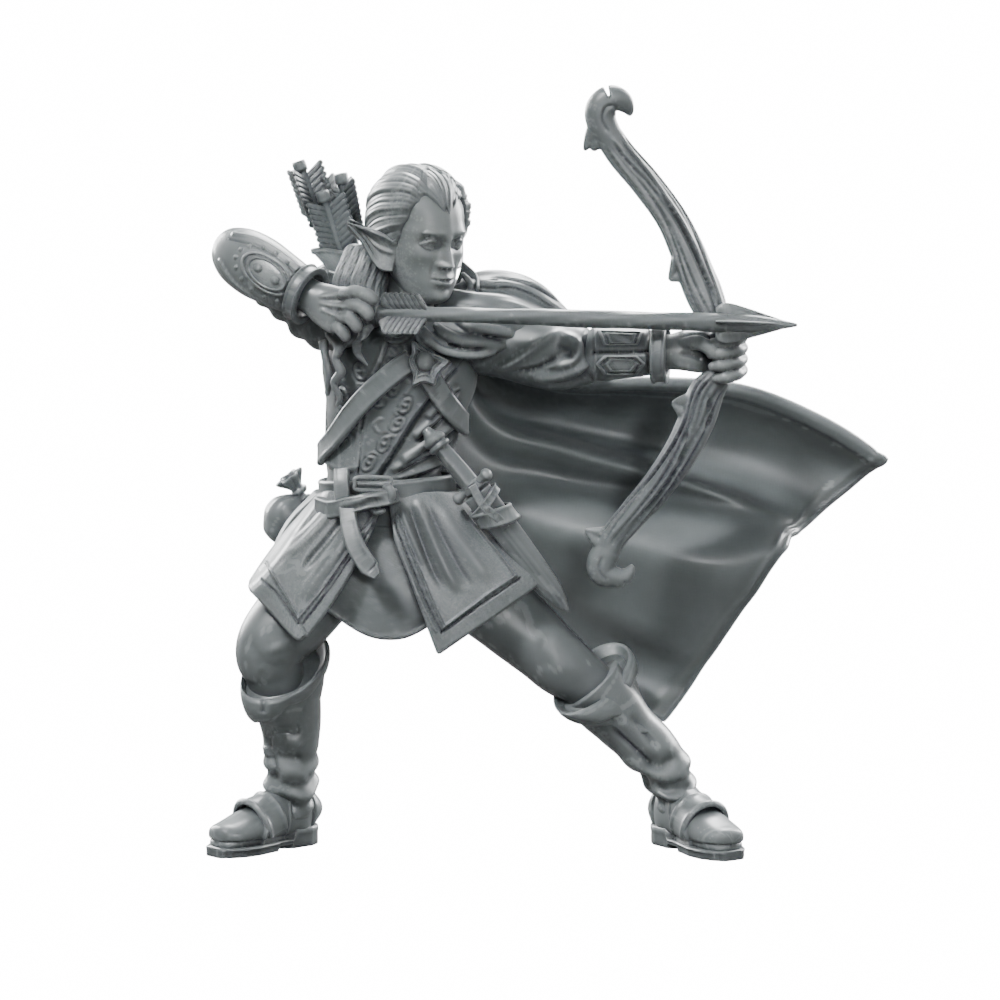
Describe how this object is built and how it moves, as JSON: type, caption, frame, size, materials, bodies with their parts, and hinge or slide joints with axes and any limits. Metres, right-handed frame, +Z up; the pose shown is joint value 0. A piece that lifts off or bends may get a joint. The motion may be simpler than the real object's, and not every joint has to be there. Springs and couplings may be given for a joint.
{
  "type": "archer miniature",
  "caption": "Rigid tabletop figure of a cloaked archer drawing a bow in a wide stance, cast in separate keyed pieces that stand on flat boot soles.",
  "frame": {"origin": "middle of the figure's footprint box, on the plane that the boot soles stand on", "axes": "+Z up, -Y is the way the chest faces, +X is the way the bow and arrow point"},
  "size_m": [0.0274, 0.0096, 0.0306],
  "materials": {
    "cast_skin": "smooth satin grey casting resin",
    "cast_hair": "satin grey casting resin with cut strands",
    "cast_cloth": "matte grey casting resin with soft folds",
    "cast_leather": "satin grey casting resin with fine creases",
    "cast_metal": "slightly glossier grey casting resin",
    "cast_wood": "satin grey casting resin with cut grain",
    "kit_pin": "smooth grey casting resin"
  },
  "bodies": {
    "root": {"torso": "cast_cloth", "neck": "cast_skin", "cowl": "cast_cloth", "head": "cast_skin", "hair": "cast_hair", "ears": "cast_skin", "under_tunic": "cast_cloth", "skirt_flap_right": "cast_cloth", "skirt_flap_left": "cast_cloth", "skirt_back": "cast_cloth", "belt": "cast_leather", "belt_buckle": "cast_metal", "belt_tail": "cast_leather", "baldric_front": "cast_leather", "baldric_side": "cast_leather", "brooch": "cast_metal", "brooch_stone": "cast_metal", "leg_right": "cast_cloth", "leg_left": "cast_cloth", "boot_shaft_right": "cast_leather", "boot_shaft_left": "cast_leather", "boot_cuff_right": "cast_leather", "boot_cuff_left": "cast_leather", "boot_foot_right": "cast_leather", "boot_foot_left": "cast_leather", "boot_strap_right": "cast_leather", "boot_strap_left": "cast_leather", "boot_sole_right": "cast_leather", "boot_sole_left": "cast_leather", "sleeve_right": "cast_cloth", "bracer_right": "cast_leather", "bracer_plate_right": "cast_metal", "bracer_cuff_right": "cast_leather", "hand_right": "cast_skin", "sleeve_left": "cast_cloth", "bracer_left": "cast_leather", "bracer_plates_left": "cast_metal", "bracer_cuff_left": "cast_leather", "hand_left": "cast_skin", "bow_limb_upper": "cast_wood", "bow_grip": "cast_wood", "bow_limb_lower": "cast_wood", "arrow_shaft": "cast_wood", "arrow_head": "cast_metal", "arrow_vanes": "cast_wood", "quiver": "cast_leather", "quiver_collar": "cast_leather", "quiver_arrows": "cast_wood", "quiver_vanes": "cast_wood", "sword_grip": "cast_metal", "sword_guard": "cast_metal", "scabbard": "cast_leather", "scabbard_frog": "cast_leather", "pouch": "cast_leather", "pouch_neck": "cast_leather", "cloak": "cast_cloth", "kit_pins": "kit_pin"}
  },
  "joints": []
}
